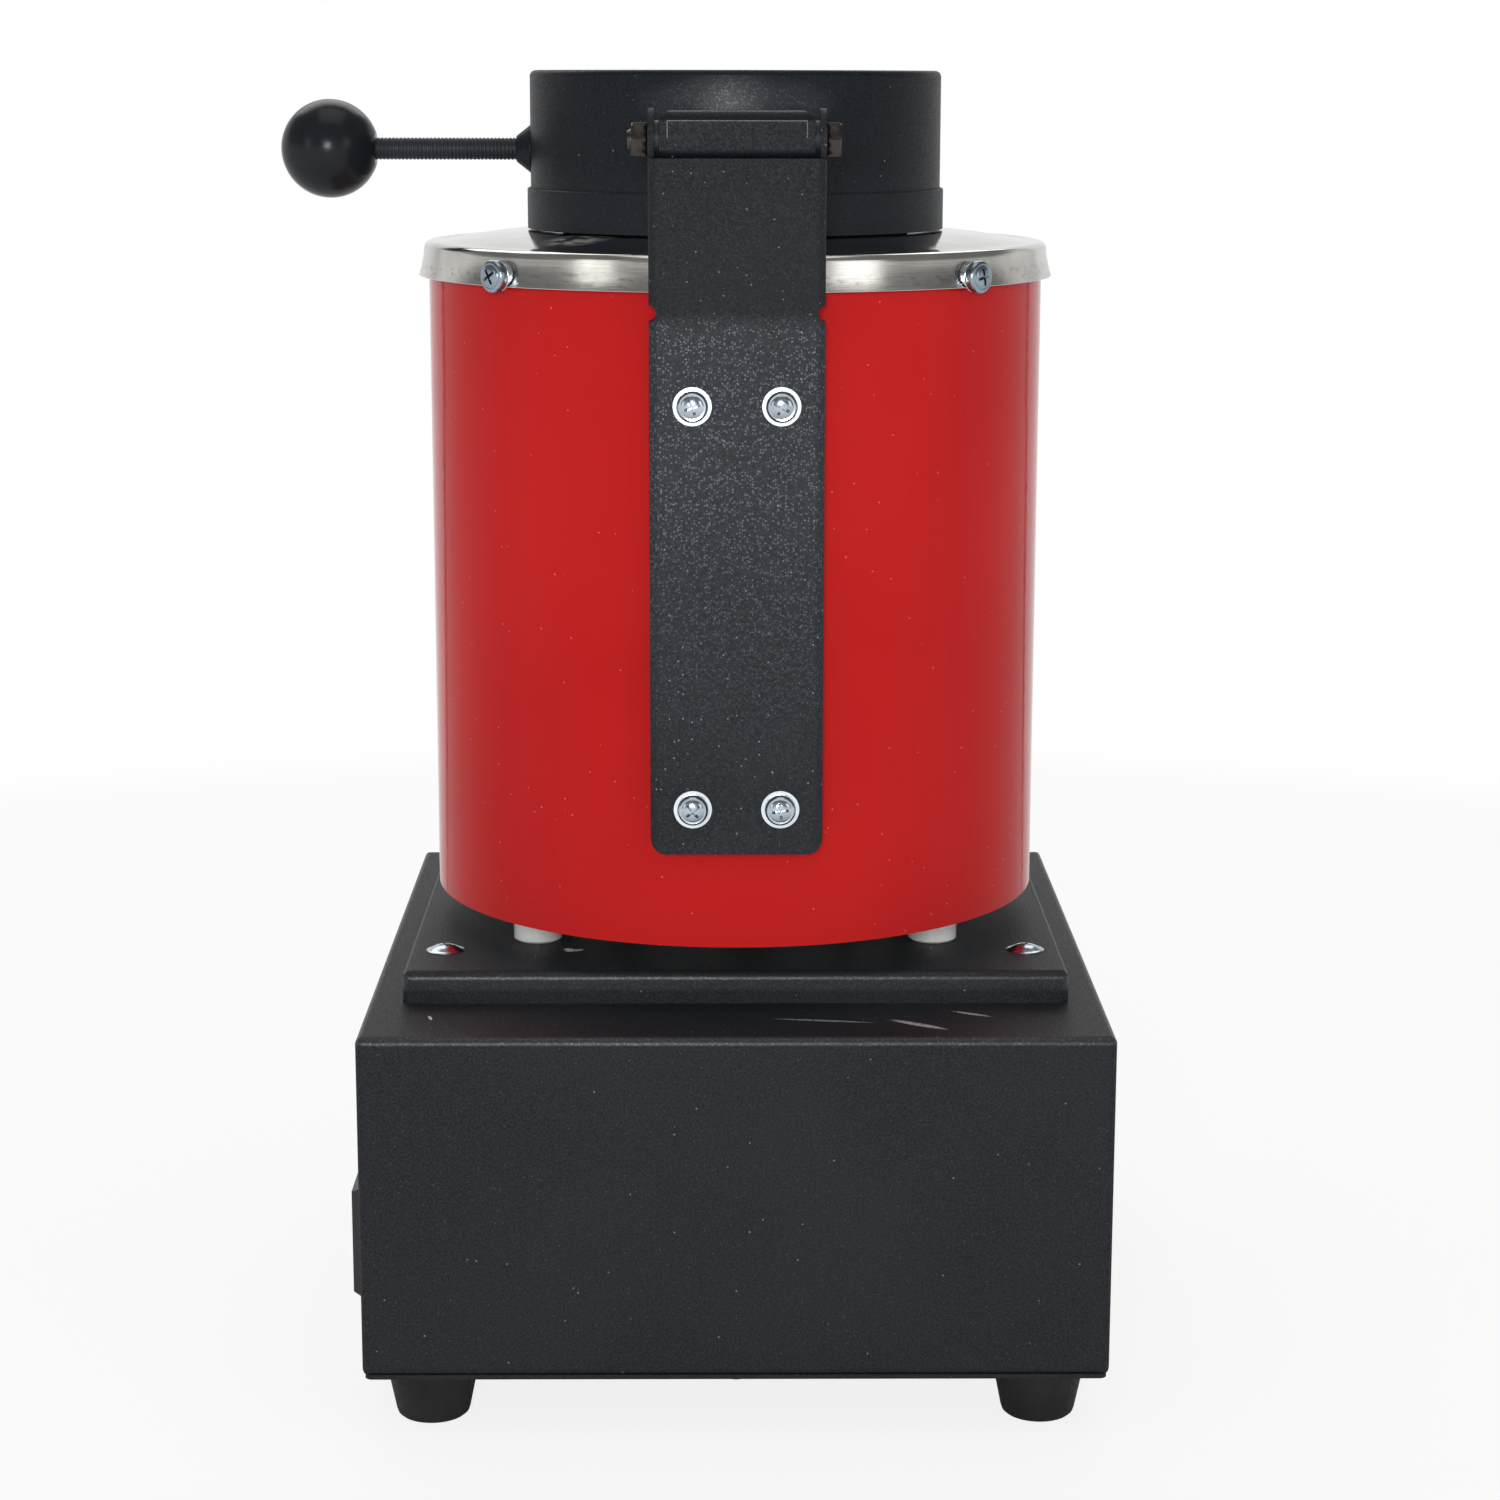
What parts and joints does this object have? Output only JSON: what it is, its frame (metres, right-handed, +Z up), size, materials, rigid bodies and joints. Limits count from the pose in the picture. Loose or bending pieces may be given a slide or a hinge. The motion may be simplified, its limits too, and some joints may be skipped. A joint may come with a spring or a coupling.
{
  "type": "electric gold melting furnace",
  "caption": "Bench furnace that melts gold in a graphite crucible: round heated chamber on a control box, closed by a hinged lid with a ball handle.",
  "frame": {"origin": "on the table, under the axis of the barrel and of the lid", "axes": "+X to the user's right, where the ball handle and the mains inlet are; +Y to the rear, where the hinge is; +Z up"},
  "size_m": [0.2153, 0.2102, 0.3413],
  "materials": {
    "black_coat": "fine-texture powder coat",
    "lid_coat": "satin powder coat",
    "red_paint": "gloss",
    "stainless": "bright, lightly brushed",
    "zinc": "zinc plated",
    "dark_steel": "browned by heat",
    "coil_wire": "oxidised heating wire",
    "black_rubber": "matte",
    "black_plastic": "fine grain",
    "bezel_plastic": "satin",
    "key_plastic": "satin",
    "rocker_plastic": "gloss",
    "knob_plastic": "polished",
    "window_glass": "smoked red",
    "white_ceramic": "unglazed white",
    "firebrick": "fired refractory",
    "fibre": "needled ceramic fibre",
    "graphite": "pressed graphite",
    "heat_sink_alloy": "extruded",
    "wire_sleeve_mains": "sleeved",
    "wire_sleeve_heater": "glass-fibre sleeve",
    "wire_sleeve_signal": "sleeved"
  },
  "bodies": {
    "furnace": {"base_shell": "black_coat", "bottom_plate": "black_coat", "bottom_screws": "zinc", "rubber_feet": "black_rubber", "foot_screws": "zinc", "foot_nuts": "zinc", "power_inlet": "black_plastic", "inlet_blades": "zinc", "switch_housing": "black_plastic", "switch_terminals": "zinc", "controller_case": "black_plastic", "controller_bezel": "bezel_plastic", "controller_clamp": "black_plastic", "display_window": "window_glass", "heat_sink": "heat_sink_alloy", "solid_state_relay": "black_plastic", "relay_screws": "zinc", "terminal_block": "white_ceramic", "mains_wires": "wire_sleeve_mains", "heater_wires": "wire_sleeve_heater", "signal_wires": "wire_sleeve_signal", "support_tray": "black_coat", "tray_screws": "stainless", "tray_nuts": "zinc", "ceramic_spacers": "white_ceramic", "spacer_bolts": "zinc", "spacer_nuts": "zinc", "barrel_shell": "red_paint", "barrel_floor": "stainless", "barrel_cap": "stainless", "cap_screws": "stainless", "insulation_base": "fibre", "insulation_blanket": "fibre", "ceramic_chamber": "firebrick", "mouth_ring": "firebrick", "heating_coil": "coil_wire", "lead_bushings": "white_ceramic", "thermocouple": "white_ceramic", "crucible_pad": "firebrick", "crucible": "graphite", "hinge_bracket": "black_coat", "bracket_screws": "stainless", "bracket_washers": "stainless", "bracket_nuts": "zinc", "hinge_bolt": "dark_steel", "hinge_nut": "dark_steel", "hinge_washers": "dark_steel"},
    "lid": {"lid_shell": "lid_coat", "lid_collar": "lid_coat", "lid_insulation": "fibre", "lid_arm": "lid_coat", "handle_boss": "lid_coat", "handle_rod": "dark_steel", "ball_knob": "knob_plastic"},
    "rocker": {"switch_rocker": "rocker_plastic"},
    "key_set_body": {"key_set": "key_plastic"},
    "key_shift_body": {"key_shift": "key_plastic"},
    "key_down_body": {"key_down": "key_plastic"},
    "key_up_body": {"key_up": "key_plastic"}
  },
  "joints": [
    {"name": "lid_hinge", "type": "hinge", "parent": "furnace", "child": "lid", "pos_m": [0, 0.08044, 0.3248], "axis": [-1, 0, 0], "range_deg": [0, 100]},
    {"name": "rocker_tilt", "type": "hinge", "parent": "furnace", "child": "rocker", "pos_m": [0.052, -0.099, 0.0612], "axis": [-1, 0, 0], "range_deg": [0, 20]},
    {"name": "press_set", "type": "slide", "parent": "furnace", "child": "key_set_body", "axis": [0, 1, 0], "range_m": [0, 0.0006], "stiffness_N_per_m": 500},
    {"name": "press_shift", "type": "slide", "parent": "furnace", "child": "key_shift_body", "axis": [0, 1, 0], "range_m": [0, 0.0006], "stiffness_N_per_m": 500},
    {"name": "press_down", "type": "slide", "parent": "furnace", "child": "key_down_body", "axis": [0, 1, 0], "range_m": [0, 0.0006], "stiffness_N_per_m": 500},
    {"name": "press_up", "type": "slide", "parent": "furnace", "child": "key_up_body", "axis": [0, 1, 0], "range_m": [0, 0.0006], "stiffness_N_per_m": 500}
  ]
}
